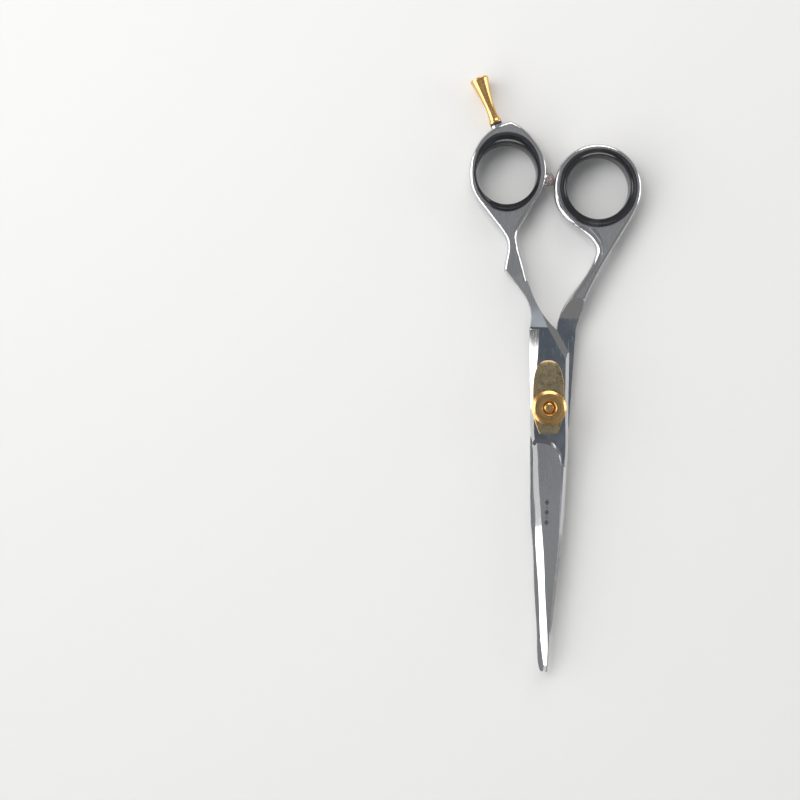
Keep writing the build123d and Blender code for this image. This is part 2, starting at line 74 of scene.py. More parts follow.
def half_size(node):
    """Half of a packed node's box, along X, Y and Z."""
    low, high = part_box(node)
    return 0.5 * (high - low)


RIDE_Z = middle("finger_insert").z
LYING_TURN = math.radians(1.7)      # how far the spring plate and the view lie turned from +Y
SHARP_ANGLE = math.radians(40.0)    # edges steeper than this stay crisp
SOFT_EDGE = 0.75                    # share of a soft box's width that is full strength
FLOOR_REACH = 2.0
LAMP_PLACE, LAMP_SIZE = (-0.40, 0.35, 0.62), 0.5
VIEW_CENTRE = (-44.22 * MM, 1.05 * MM)
MARK_CENTRE, MARK_PITCH = (0.55 * MM, -31.2 * MM), 3.0 * MM


# ---- what a user would change --------------------------------------------------------------


def colour(name, description, value):
    """A colour property."""
    return bpy.props.FloatVectorProperty(
        name=name, description=description, default=value, size=3, min=0.0, max=1.0,
        subtype="COLOR")


def length(name, description, value):
    """A length property."""
    return bpy.props.FloatProperty(
        name=name, description=description, default=value, min=0.0, unit="LENGTH",
        subtype="DISTANCE", precision=5)


class ShearsColours(bpy.types.PropertyGroup):
    """Colours of the shears' finishes."""

    steel: colour("Steel", "Polished steel of both halves", (0.62, 0.62, 0.63))
    satin: colour("Satin steel", "Brushed flats of both halves", (0.55, 0.54, 0.525))
    etch: colour("Etched mark", "Etched lozenges on the plain blade", (0.20, 0.20, 0.21))
    # This gold also tints the spring plate's tilted edges as a painted highlight.
    gold: colour("Gold", "Plated knob, screw and finger rest", (0.88, 0.54, 0.215))
    gold_deep: colour("Gold in hollows", "Plating where it is handled least", (0.66, 0.36, 0.11))
    spring: colour("Spring plate", "Plating of the leaf spring", (0.56, 0.44, 0.25))
    spring_dull: colour("Dull spring plate", "Tumbled patches of it", (0.37, 0.31, 0.19))
    insert: colour("Ring inserts", "Moulded black plastic", (0.010, 0.010, 0.012))
    insert_grey: colour("Worn inserts", "Where the black plastic is rubbed", (0.035, 0.035, 0.04))
    bumper: colour("Bumper", "Soft clear plastic between the rings", (0.62, 0.50, 0.51))
    washer: colour("Slip washers", "Pale plastic washers at the pivot", (0.78, 0.77, 0.72))
    rubber: colour("Rest washer", "Dark washer under the finger rest", (0.03, 0.025, 0.03))
    bronze: colour("Bush", "Bearing sleeve in the thumb half", (0.62, 0.43, 0.20))


class ShearsSizes(bpy.types.PropertyGroup):
    """Fine detail that the shears' small pieces are given."""

    insert_step: length("Insert step", "Height of the step round an insert's lip", 0.16 * MM)
    insert_bead: length("Insert bead", "How far the bead lies outside the hole", 0.42 * MM)
    knob_bevel: length("Knob bevel", "Width of the knob's bevel", 0.95 * MM)
    knob_ridge: length("Knob ridges", "Depth of the ridges round the knob", 0.09 * MM)
    knob_ridges: bpy.props.IntProperty(
        name="Ridges", description="Number of ridges round the knob", default=48, min=12, max=90)
    plate_dish: length("Plate dish", "How far the spring plate's edges stand up", 0.10 * MM)
    rest_groove: length("Rest grooves", "Depth of the finger rest's turned lines", 0.04 * MM)
    bumper_ribs: bpy.props.IntProperty(
        name="Bumper ribs", description="Number of ribs on the bumper", default=3, min=1, max=6)


class ShearsStage(bpy.types.PropertyGroup):
    """Floor, light and camera."""

    floor: colour("Floor", "Colour of the plain floor", (0.74, 0.74, 0.73))
    distance: length("Camera height", "Height of the camera over the blades", 430 * MM)
    view: length("View width", "Width of the picture at the blades", 240 * MM)
    key_power: bpy.props.FloatProperty(
        name="Key light", description="Power of the soft key light", default=3.2, min=0.0,
        unit="POWER")


# ---- meshes --------------------------------------------------------------------------------


def grid_faces(rows, cols, wrap_rows):
    """Quads between neighbours in a grid of points whose columns close on themselves."""
    i = np.arange(rows if wrap_rows else rows - 1)[:, None]
    j = np.arange(cols)[None, :]
    below, beside = (i + 1) % rows, (j + 1) % cols
    quads = np.stack([i * cols + j, i * cols + beside, below * cols + beside, below * cols + j],
                     axis=-1)
    return quads.reshape(-1, 4)


def volume_of(points, faces):
    """Six times the signed volume: the sum of a . (b x c) over the faces' triangles."""
    total = 0.0
    for k in range(1, faces.shape[1] - 1):
        a, b, c = points[faces[:, 0]], points[faces[:, k]], points[faces[:, k + 1]]
        total += np.einsum("ij,ij->i", a, np.cross(b, c)).sum()
    return total


def add_shell(name, grid, wrap_rows, material):
    """A closed shell from a grid of points (rows, columns, 3).  Columns always wrap.  Rows wrap
    too, or else the first and last rows are closed by a fan round their middle."""
    rows, cols = grid.shape[:2]
    points = grid.reshape(-1, 3)
    groups = [grid_faces(rows, cols, wrap_rows)]
    if not wrap_rows:
        ring = np.arange(cols)
        start, end = len(points), len(points) + 1
        points = np.vstack([points, grid[0].mean(axis=0), grid[-1].mean(axis=0)])
        last = (rows - 1) * cols
        groups.append(np.stack([np.full(cols, start), np.roll(ring, -1), ring], axis=-1))
        groups.append(np.stack([np.full(cols, end), last + ring, last + np.roll(ring, -1)],
                               axis=-1))
    if sum(volume_of(points, group) for group in groups) < 0:
        groups = [group[:, ::-1] for group in groups]
    faces = [face for group in groups for face in group.tolist()]
    mesh = bpy.data.meshes.new(name)
    mesh.from_pydata(points.tolist(), [], faces)
    mesh.shade_smooth()
    mesh.set_sharp_from_angle(angle=SHARP_ANGLE)
    mesh.materials.append(material)
    mesh.update()
    piece = bpy.data.objects.new(name, mesh)
    bpy.context.scene.collection.objects.link(piece)
    return piece


def eased(stations, cuts, closed, steps=5):
    """The run of stations with each corner replaced by a parabola.  It starts and ends a cut
    away from the corner along its two sides, and the corner is its control point.  Distances
    are taken over a station's last two values."""
    stations = np.asarray(stations, float)
    cuts = np.broadcast_to(np.asarray(cuts, float), len(stations))
    before, after = np.roll(stations, 1, axis=0), np.roll(stations, -1, axis=0)
    to_before = np.linalg.norm((before - stations)[:, -2:], axis=1) + 1e-12
    to_after = np.linalg.norm((after - stations)[:, -2:], axis=1) + 1e-12
    share_a = np.minimum(cuts / to_before, 0.48)[:, None]
    share_b = np.minimum(cuts / to_after, 0.48)[:, None]
    start = stations + (before - stations) * share_a
    end = stations + (after - stations) * share_b
    t = np.linspace(0.0, 1.0, steps)[None, :, None]
    bends = ((1 - t) ** 2 * start[:, None] + 2 * t * (1 - t) * stations[:, None]
             + t ** 2 * end[:, None])
    if closed:
        return bends.reshape(-1, stations.shape[1])
    inner = bends[1:-1].reshape(-1, stations.shape[1])
    return np.vstack([stations[:1], inner, stations[-1:]])


def around(count):
    """Evenly spaced angles of one turn."""
    return np.arange(count) * (2 * math.pi / count)


def turned_grid(profile, angles, origin, axis, relief=None):
    """A profile of (radius, height) carried round an axis: origin + height along the axis +
    radius towards the angle.  relief, if given, is added to the radius, row by angle."""
    axis = np.array(Vector(axis).normalized())
    side = np.cross(axis, (0.0, 0.0, 1.0))
    if np.linalg.norm(side) < 1e-6:
        side = np.array((1.0, 0.0, 0.0))
    side = side / np.linalg.norm(side)
    other = np.cross(axis, side)
    radius = np.repeat(profile[:, :1], len(angles), axis=1)
    if relief is not None:
        radius = radius + relief
    outward = np.cos(angles)[:, None] * side + np.sin(angles)[:, None] * other
    return (np.array(origin) + profile[:, 1][:, None, None] * axis
            + radius[:, :, None] * outward[None])


# ---- node helpers --------------------------------------------------------------------------


class Wiring:
    """Short-hand for adding nodes to a tree and joining their sockets."""

    def __init__(self, tree):
        self.tree = tree

    def add(self, kind, **settings):
        """A new node with the given settings."""
        node = self.tree.nodes.new(kind)
        for name, value in settings.items():
            setattr(node, name, value)
        return node

    def feed(self, source, target):
        """Join a socket to a socket, or set the target to a plain value."""
        if hasattr(source, "is_output"):
            self.tree.links.new(source, target)
        elif source is not None:
            target.default_value = source

    def math(self, operation, a, b=None, c=None, clamp=False):
        """One sum on plain numbers."""
        node = self.add("ShaderNodeMath", operation=operation, use_clamp=clamp)
        for value, socket in zip((a, b, c), node.inputs):
            self.feed(value, socket)
        return node.outputs[0]

    def product(self, *values):
        """All the values multiplied together."""
        result = values[0]
        for value in values[1:]:
            result = self.math("MULTIPLY", result, value)
        return result

    def split(self, vector):
        """The X, Y and Z of a vector."""
        node = self.add("ShaderNodeSeparateXYZ")
        self.feed(vector, node.inputs[0])
        return node.outputs["X"], node.outputs["Y"], node.outputs["Z"]

    def dot(self, a, b):
        """How far a reaches along b."""
        node = self.add("ShaderNodeVectorMath", operation="DOT_PRODUCT")
        self.feed(a, node.inputs[0])
        self.feed(b, node.inputs[1])
        return node.outputs["Value"]

    def hypot(self, a, b):
        """The root of the sum of two squares."""
        return self.math("SQRT", self.math("ADD", self.product(a, a), self.product(b, b)))

    def step(self, value, low, high, out_low=0.0, out_high=1.0):
        """A smooth step as the value goes from low to high."""
        node = self.add("ShaderNodeMapRange", interpolation_type="SMOOTHSTEP")
        self.feed(value, node.inputs["Value"])
        for name, v in zip(("From Min", "From Max", "To Min", "To Max"),
                           (low, high, out_low, out_high)):
            self.feed(v, node.inputs[name])
        return node.outputs["Result"]

    def span(self, value, low, high, soft):
        """One between low and high, and nothing outside them."""
        return self.product(self.step(value, low - soft, low + soft),
                            self.step(value, high + soft, high - soft))

    def mix(self, factor, a, b):
        """Blend two colours by a factor."""
        node = self.add("ShaderNodeMix", data_type="RGBA")
        self.feed(factor, node.inputs[0])
        self.feed(a, node.inputs[6])
        self.feed(b, node.inputs[7])
        return node.outputs[2]

    def blend(self, factor, a, b):
        """Blend two numbers by a factor."""
        node = self.add("ShaderNodeMix", data_type="FLOAT")
        self.feed(factor, node.inputs[0])
        self.feed(a, node.inputs[2])
        self.feed(b, node.inputs[3])
        return node.outputs[0]

    def noise(self, vector, scale, detail=3.0, rough=0.55):
        """Cloudy noise at a place."""
        node = self.add("ShaderNodeTexNoise")
        self.feed(vector, node.inputs["Vector"])
        self.feed(scale, node.inputs["Scale"])
        self.feed(detail, node.inputs["Detail"])
        self.feed(rough, node.inputs["Roughness"])
        return node.outputs["Fac"]

    def place(self, vector, scale, turn=(0, 0, 0)):
        """A turned and stretched place."""
        node = self.add("ShaderNodeMapping")
        self.feed(vector, node.inputs["Vector"])
        node.inputs["Rotation"].default_value = turn
        node.inputs["Scale"].default_value = scale
        return node.outputs["Vector"]

    def bump(self, height, strength, distance, normal=None):
        """A normal tilted by a height."""
        node = self.add("ShaderNodeBump")
        self.feed(height, node.inputs["Height"])
        self.feed(strength, node.inputs["Strength"])
        self.feed(distance, node.inputs["Distance"])
        if normal is not None:
            self.feed(normal, node.inputs["Normal"])
        return node.outputs["Normal"]

    def use(self, group, **values):
        """A placed node group, with its inputs fed by name."""
        node = self.add("ShaderNodeGroup", node_tree=group)
        for name, value in values.items():
            self.feed(value, node.inputs[name])
        return node.outputs


def new_group(name, inputs, outputs):
    """An empty shader node group: returns the group, its wiring, entry and exit."""
    group = bpy.data.node_groups.new(name, "ShaderNodeTree")
    for label, kind in inputs:
        group.interface.new_socket(name=label, in_out="INPUT", socket_type=kind)
    for label, kind in outputs:
        group.interface.new_socket(name=label, in_out="OUTPUT", socket_type=kind)
    wire = Wiring(group)
    return group, wire, wire.add("NodeGroupInput"), wire.add("NodeGroupOutput")


def kept(name, build):
    """The group or material of that name, built the first time it is asked for."""
    found = bpy.data.node_groups.get(name) or bpy.data.materials.get(name)
    return found or build(name)


FLOAT = "NodeSocketFloat"
VECTOR = "NodeSocketVector"


def build_wear(name):
    """Handling marks.  Smudge is cloudy noise about 8 mm across.  Scratches is the top few
    percent of two noises stretched to long thin streaks, one turned across the other."""
    group, wire, entry, out = new_group(
        name, [("Position", VECTOR)], [("Smudge", FLOAT), ("Scratches", FLOAT)])
    place = entry.outputs["Position"]
    wire.feed(wire.noise(place, 130.0, 4.0, 0.6), out.inputs["Smudge"])
    streaks = []
    for turn, across in ((0.35, 7000.0), (-0.9, 9000.0)):
        stretched = wire.place(place, scale=(across, 260.0, 2000.0), turn=(0, 0, turn))
        streaks.append(wire.step(wire.noise(stretched, 1.0, 1.0), 0.70, 0.78))
    wire.feed(wire.math("MAXIMUM", *streaks), out.inputs["Scratches"])
    return group


def build_grain(name):
    """Fine brushed lines along Y: noise stretched thirty to forty times along them."""
    group, wire, entry, out = new_group(
        name, [("Position", VECTOR)], [("Height", FLOAT), ("Shade", FLOAT)])
    fine = wire.place(entry.outputs["Position"], scale=(11000.0, 260.0, 11000.0))
    broad = wire.place(entry.outputs["Position"], scale=(2600.0, 90.0, 2600.0))
    lines = wire.noise(fine, 1.0, 3.0, 0.6)
    wire.feed(lines, out.inputs["Height"])
    wire.feed(wire.blend(0.5, lines, wire.noise(broad, 1.0, 2.0)), out.inputs["Shade"])
    return group


def build_lathe(name):
    """Turning marks: one-dimensional noise along the way the tool fed."""
    group, wire, entry, out = new_group(
        name, [("Along", FLOAT)], [("Height", FLOAT), ("Shade", FLOAT)])
    for label, pitch, detail in (("Height", 9000.0, 2.0), ("Shade", 5200.0, 3.0)):
        node = wire.add("ShaderNodeTexNoise", noise_dimensions="1D")
        wire.feed(wire.math("MULTIPLY", entry.outputs["Along"], pitch), node.inputs["W"])
        wire.feed(1.0, node.inputs["Scale"])
        wire.feed(detail, node.inputs["Detail"])
        wire.feed(node.outputs["Fac"], out.inputs[label])
    return group


def fresh_material(name):
    """An empty node material with a shader: returns material, wiring, shader and coordinates."""
    material = bpy.data.materials.new(name)
    material.use_nodes = True
    tree = material.node_tree
    tree.nodes.clear()
    wire = Wiring(tree)
    shader = wire.add("ShaderNodeBsdfPrincipled")
    output = wire.add("ShaderNodeOutputMaterial")
    wire.feed(shader.outputs[0], output.inputs["Surface"])
    return material, wire, shader, wire.add("ShaderNodeTexCoord")


def rgba(value):
    """A colour with full alpha."""
    return (*value, 1.0)


# ---- finishes ------------------------------------------------------------------------------


def etched_mark(wire, x, y, upward):
    """A row of three small solid lozenges with a dot between each on the plain blade's face."""
    across = wire.math("ABSOLUTE", wire.math("SUBTRACT", x, MARK_CENTRE[0]))
    along = wire.math("SUBTRACT", y, MARK_CENTRE[1])
    cell = wire.math("ABSOLUTE", wire.math("WRAP", along, MARK_PITCH / 2, -MARK_PITCH / 2))
    lozenge = wire.math("ADD", wire.math("DIVIDE", across, 0.75 * MM),
                        wire.math("DIVIDE", cell, 1.05 * MM))
    apart = wire.math("SUBTRACT", MARK_PITCH / 2, cell)
    shape = wire.math("MAXIMUM", wire.step(lozenge, 1.0, 0.88),
                      wire.step(wire.hypot(across, apart), 0.26 * MM, 0.20 * MM))
    ends = wire.span(along, -1.4 * MARK_PITCH, 1.4 * MARK_PITCH, 0.02 * MM)
    return wire.product(wire.product(shape, ends), upward)


def build_steel(name):
    """Blade steel: mirror-polished bevels and pivot block, and satin flats elsewhere."""
    colours = bpy.context.scene.shears_colours
    material, wire, shader, coords = fresh_material(name)
    place = coords.outputs["Object"]
    x, y, _z = wire.split(place)
    facing = wire.split(coords.outputs["Normal"])[2]
    level = wire.step(wire.math("ABSOLUTE", facing), 0.985, 0.998)
    upward = wire.step(facing, 0.985, 0.998)
    margin = wire.product(wire.step(x, 4.3 * MM, 4.5 * MM),
                          wire.step(y, -60.0 * MM, -40.0 * MM), upward)
    right = wire.math("MAXIMUM", wire.math("SUBTRACT", x, 0.6 * MM), 0.0)
    above_step = wire.math("MULTIPLY_ADD", wire.math("MULTIPLY", right, right), 0.22 / MM, y)
    block = wire.product(
        wire.math("MAXIMUM", margin, wire.step(above_step, -10.6 * MM, -10.3 * MM)),
        wire.step(y, 33.0 * MM, 27.0 * MM))
    satin = wire.product(level, wire.math("SUBTRACT", 1.0, block))
    wear = wire.use(kept("Handling wear", build_wear), Position=place)
    grain = wire.use(kept("Satin grain", build_grain), Position=place)
    mark = etched_mark(wire, x, y, upward)

    bright = wire.mix(wire.math("MULTIPLY", wear["Smudge"], 0.35), rgba(colours.steel),
                      rgba(colours.satin))
    shaded = wire.mix(grain["Shade"], rgba([0.88 * v for v in colours.satin]),
                      rgba([min(1.0, 1.10 * v) for v in colours.satin]))
    base = wire.mix(satin, bright, shaded)
    base = wire.mix(wire.product(wear["Scratches"], 0.25), base, (0.85, 0.85, 0.86, 1.0))
    wire.feed(wire.mix(mark, base, rgba(colours.etch)), shader.inputs["Base Color"])
    shader.inputs["Metallic"].default_value = 1.0

    polished = wire.step(wear["Smudge"], 0.35, 0.75, 0.06, 0.15)
    brushed = wire.step(grain["Shade"], 0.3, 0.7, 0.24, 0.36)
    rough = wire.blend(satin, polished, brushed)
    rough = wire.blend(wire.product(wear["Scratches"], 0.5), rough, 0.4)
    wire.feed(wire.blend(mark, rough, 0.5), shader.inputs["Roughness"])

    ripple = wire.bump(wire.noise(place, 95.0, 1.0), 1.0, 0.07 * MM)
    lines = wire.product(grain["Height"], satin)
    brushed_normal = wire.bump(lines, 0.35, 0.004 * MM, ripple)
    cut = wire.math("MAXIMUM", mark, wire.product(wear["Scratches"], 0.2))
    wire.feed(wire.bump(wire.math("SUBTRACT", 1.0, cut), 0.8, 0.012 * MM, brushed_normal),
              shader.inputs["Normal"])
    return material


def gold_finish(name, along_of, engraved=False):
    """Pale gold plating over turned metal.  along_of gives the way the turning tool fed."""
    colours = bpy.context.scene.shears_colours
    material, wire, shader, coords = fresh_material(name)
    place = coords.outputs["Object"]
    wear = wire.use(kept("Handling wear", build_wear), Position=place)
    lathe = wire.use(kept("Turning marks", build_lathe), Along=along_of(wire, place))
    tone = wire.blend(0.35, wear["Smudge"], lathe["Shade"])
    base = wire.mix(wire.step(tone, 0.30, 0.62, 0.35, 1.0), rgba(colours.gold_deep),
                    rgba(colours.gold))
    base = wire.mix(wire.product(wear["Scratches"], 0.35), base, (0.9, 0.74, 0.48, 1.0))
    cut = wear["Scratches"]
    if engraved:
        line = index_line(wire, place)
        # Painted shade: the engraved line's colour is darkened to deep brown, standing in for shade in its groove.
        base = wire.mix(wire.product(line, 0.75), base, (0.16, 0.09, 0.03, 1.0))
        cut = wire.math("MAXIMUM", wire.product(cut, 0.2), line)
    wire.feed(base, shader.inputs["Base Color"])
    shader.inputs["Metallic"].default_value = 1.0
    wire.feed(wire.step(lathe["Shade"], 0.3, 0.7, 0.16, 0.28), shader.inputs["Roughness"])
    rings = wire.bump(lathe["Height"], 0.3, 0.003 * MM)
    wire.feed(wire.bump(wire.math("SUBTRACT", 1.0, cut), 0.5, 0.01 * MM, rings),
              shader.inputs["Normal"])
    return material


def index_line(wire, place):
    """A thin engraved line on the knob's face, from its hole towards its rim. Its mask both cuts the groove and
    darkens it with painted shade.
    """
    turn = math.radians(12.0)
    across = wire.dot(place, (math.cos(turn), math.sin(turn), 0.0))
    down = wire.dot(place, (math.sin(turn), -math.cos(turn), 0.0))
    height = wire.split(place)[2]
    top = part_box("tension_knob")[1].z
    return wire.product(wire.span(across, -0.06 * MM, 0.06 * MM, 0.03 * MM),
                        wire.span(down, 2.5 * MM, 3.9 * MM, 0.05 * MM),
                        wire.step(height, top - 0.3 * MM, top - 0.1 * MM))


def build_knob_gold(name):
    """Gold with turning marks round the pivot and an engraved line darkened with painted shade."""
    def along(wire, place):
        x, y, z = wire.split(place)
        return wire.math("ADD", wire.hypot(x, y), z)

    return gold_finish(name, along, engraved=True)


def build_rest_gold(name):
    """Gold with turning marks along the finger rest."""
    axis = tuple(JOINTS["rest_turn"]["axis"])
    return gold_finish(name, lambda wire, place: wire.dot(place, axis))


def build_spring(name):
    """Tumbled, mottled plating of the leaf spring, with a painted highlight: brighter gold on its edges, where
    they tilt away from level.
    """
    colours = bpy.context.scene.shears_colours
    material, wire, shader, coords = fresh_material(name)
    place = coords.outputs["Object"]
    wear = wire.use(kept("Handling wear", build_wear), Position=place)
    cloud = wire.noise(place, 750.0, 5.0, 0.7)
    spots = wire.noise(place, 2600.0, 2.0)
    tone = wire.blend(0.55, cloud, spots)
    base = wire.mix(wire.step(tone, 0.36, 0.62), rgba(colours.spring_dull),
                    rgba(colours.spring))
    # Painted highlight: where the plate's surface tilts off level at its edges, the colour is tinted brighter gold
    # to stand in for the light those edges catch.
    painted_edge_highlight = wire.step(wire.split(coords.outputs["Normal"])[2], 0.97, 0.75)
    base = wire.mix(painted_edge_highlight, base, rgba(colours.gold))
    base = wire.mix(wire.product(wear["Scratches"], 0.3), base, (0.75, 0.66, 0.44, 1.0))
    wire.feed(base, shader.inputs["Base Color"])
    shader.inputs["Metallic"].default_value = 1.0
    wire.feed(wire.step(cloud, 0.35, 0.65, 0.22, 0.42), shader.inputs["Roughness"])
    rough_top = wire.bump(tone, 0.6, 0.03 * MM)
    wire.feed(wire.bump(wear["Scratches"], 0.2, 0.008 * MM, rough_top),
              shader.inputs["Normal"])
    return material


def build_black(name):
    """Glossy moulded black plastic with rubbed patches and fine orange peel."""
    colours = bpy.context.scene.shears_colours
    material, wire, shader, coords = fresh_material(name)
    place = coords.outputs["Object"]
    wear = wire.use(kept("Handling wear", build_wear), Position=place)
    rubbed = wire.math("MAXIMUM", wire.step(wear["Smudge"], 0.5, 0.8),
                       wire.product(wear["Scratches"], 0.6))
    wire.feed(wire.mix(rubbed, rgba(colours.insert), rgba(colours.insert_grey)),
              shader.inputs["Base Color"])
    wire.feed(wire.blend(rubbed, 0.09, 0.24), shader.inputs["Roughness"])
    shader.inputs["IOR"].default_value = 1.65
    peel = wire.bump(wire.noise(place, 1400.0, 2.0), 0.25, 0.01 * MM)
    wire.feed(wire.bump(wear["Scratches"], 0.15, 0.006 * MM, peel), shader.inputs["Normal"])
    return material


def build_clear(name):
    """Soft translucent plastic of the bumper, a little cloudy inside."""
    colours = bpy.context.scene.shears_colours
    material, wire, shader, coords = fresh_material(name)
    place = coords.outputs["Object"]
    cloud = wire.noise(place, 900.0, 4.0, 0.6)
    wire.feed(wire.mix(cloud, rgba([0.72 * v for v in colours.bumper]),
                       rgba(colours.bumper)), shader.inputs["Base Color"])
    wire.feed(wire.step(cloud, 0.3, 0.7, 0.16, 0.34), shader.inputs["Roughness"])
    shader.inputs["Transmission Weight"].default_value = 0.55
    shader.inputs["IOR"].default_value = 1.45
    wire.feed(wire.bump(cloud, 0.3, 0.02 * MM), shader.inputs["Normal"])
    return material


def matte_finish(name, tint, low, high, grain):
    """Plain moulded or sawn stuff: cloudy colour, fine grain and uneven gloss."""
    material, wire, shader, coords = fresh_material(name)
    place = coords.outputs["Object"]
    cloud = wire.noise(place, 700.0, 4.0, 0.6)
    wire.feed(wire.mix(cloud, rgba([0.7 * v for v in tint]), rgba(tint)),
              shader.inputs["Base Color"])
    wire.feed(wire.step(cloud, 0.3, 0.7, low, high), shader.inputs["Roughness"])
    wire.feed(wire.bump(wire.noise(place, grain, 3.0), 0.35, 0.015 * MM),
              shader.inputs["Normal"])
    return material, shader


def build_washer(name):
    """Pale slip-washer plastic."""
    return matte_finish(name, bpy.context.scene.shears_colours.washer, 0.32, 0.5, 3200.0)[0]


def build_rubber(name):
    """Dark washer under the finger rest."""
    return matte_finish(name, bpy.context.scene.shears_colours.rubber, 0.3, 0.55, 4200.0)[0]


def build_bronze(name):
    """Bearing bronze."""
    material, shader = matte_finish(name, bpy.context.scene.shears_colours.bronze, 0.25, 0.45,
                                    2600.0)
    shader.inputs["Metallic"].default_value = 1.0
    return material


def dress(node, material):
    """Give a packed node its finish."""
    data = frame["nodes"][node].data
    data.materials.clear()
    data.materials.append(material)


def settle(piece, body, node):
    """Let a new piece ride on its body and stand for its packed node, which is hidden."""
    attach(piece, body)
    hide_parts(node)


# ---- shapes --------------------------------------------------------------------------------


def oval(centre, half_x, half_y, z):
    """One station of an insert: a level oval given by its middle, half widths and height."""
    return np.array((centre[0], centre[1], half_x, half_y, z))


def insert_grid(node, hole, sizes):
    """A ring insert.  Its section is a closed loop of ovals: hole wall with a moulding line,
    rounded mouth, bead, hollow, step, flat band and lip, then the sleeve and the same again
    below.  A point is the oval's middle plus its half widths times cosine and sine."""
    centre, half = middle(node), half_size(node)
    bore = hole["dims"]["r_mm"] * MM
    wall = oval(hole["pos_m"], bore, bore, 0.0)
    lip = oval(centre, half.x, half.y, 0.0)
    bead = wall + (lip - wall) * 0.16
    bead[2:4] = np.maximum(bead[2:4], bore + sizes.insert_bead)
    top = half.z
    lip_low = top - 0.83 * MM

    def between(share, z, shrink=0.0):
        station = bead + (lip - bead) * share
        station[2:4] -= shrink
        station[4] = z
        return station

    def at(base, z, shrink=0.0):
        station = base.copy()
        station[2:4] -= shrink
        station[4] = z
        return station

    seam = 0.05 * MM
    upper = [
        (at(wall, 0.14 * MM), 0.05),
        (at(wall, top - 1.25 * MM), 0.5),
        (between(0.0, top - 0.10 * MM, 0.30 * MM), 0.2),
        (between(0.0, top), 0.22),
        (between(0.26, top - 0.12 * MM - sizes.insert_step), 0.12),
        (between(0.53, top - 0.04 * MM - sizes.insert_step), 0.06),
        (between(0.57, top - 0.02 * MM), 0.06),
        (at(lip, top - 0.03 * MM, 0.26 * MM), 0.16),
        (at(lip, top - 0.30 * MM), 0.16),
        (at(lip, lip_low), 0.05),
        (at(lip, lip_low, 0.72 * MM), 0.05),
    ]
    lower = [(station * (1, 1, 1, 1, -1), cut) for station, cut in reversed(upper)]
    loop = [(at(wall, 0.0, seam), 0.06)] + upper + lower
    stations = eased([s for s, _ in loop], [c * MM for _, c in loop], closed=True, steps=6)
    angles = around(144)
    x = stations[:, 0:1] + stations[:, 2:3] * np.cos(angles)
    y = stations[:, 1:2] + stations[:, 3:4] * np.sin(angles)
    z = np.repeat(RIDE_Z + stations[:, 4:5], len(angles), axis=1)
    return np.stack([x, y, z], axis=-1)


def knob_grid(sizes):
    """The tension knob: a closed profile turned about the pivot, with shallow ridges round its
    side.  The ridges take a raised cosine of the angle off the radius."""
    low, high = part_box("tension_knob")
    radius, tall = half_size("tension_knob").x, high.z - low.z
    bore = 1.72 * MM
    bevel = sizes.knob_bevel
    loop = [
        (bore, 0.4, 0.1), (bore, -0.62, 0.1), (bore + 0.36 * MM, -0.16, 0.1),
        (bore + 0.46 * MM, 0.0, 0.12), (radius - bevel, 0.0, 0.12),
        (radius - 0.10 * MM, -0.46, 0.12), (radius, -0.66, 0.08),
        (radius, 1.05, 0.05), (radius - 0.25 * MM, 0.92, 0.08), (radius - 0.25 * MM, 0.74, 0.08),
        (radius, 0.6, 0.05), (radius, 0.32, 0.1), (radius - 0.34 * MM, 0.02, 0.1),
        (bore + 0.4 * MM, 0.0, 0.1),
    ]
    # The second to seventh heights hang from the top.  The others stand on the bottom.
    hung = range(1, 7)
    profile = [(r, (tall if i in hung else 0.0) + h * MM) for i, (r, h, _) in enumerate(loop)]
    stations = eased(profile, [c * MM for _, _, c in loop], closed=True, steps=5)
    angles = around(4 * sizes.knob_ridges)
    side = np.clip((stations[:, 0] - radius + 0.10 * MM) / (0.08 * MM), 0.0, 1.0)
    upper = stations[:, 1] > 0.98 * MM
    wave = 0.5 - 0.5 * np.cos(sizes.knob_ridges * angles)
    relief = -sizes.knob_ridge * (side * upper)[:, None] * wave
    return turned_grid(stations, angles, (0.0, 0.0, low.z), (0, 0, 1), relief)


def plate_half_width(y, top, low, width):
    """Half width of the spring plate: a superellipse above the pivot and a slow taper below."""
    up = np.clip(y / top, 0.0, 1.0)
    down = np.clip(y / low, 0.0, 1.0)
    above = (1.0 - up ** 4.0) ** (1.0 / 2.4)
    below = 1.0 - 0.44 * down ** 1.6
    return width * np.where(y > 0, above, below)


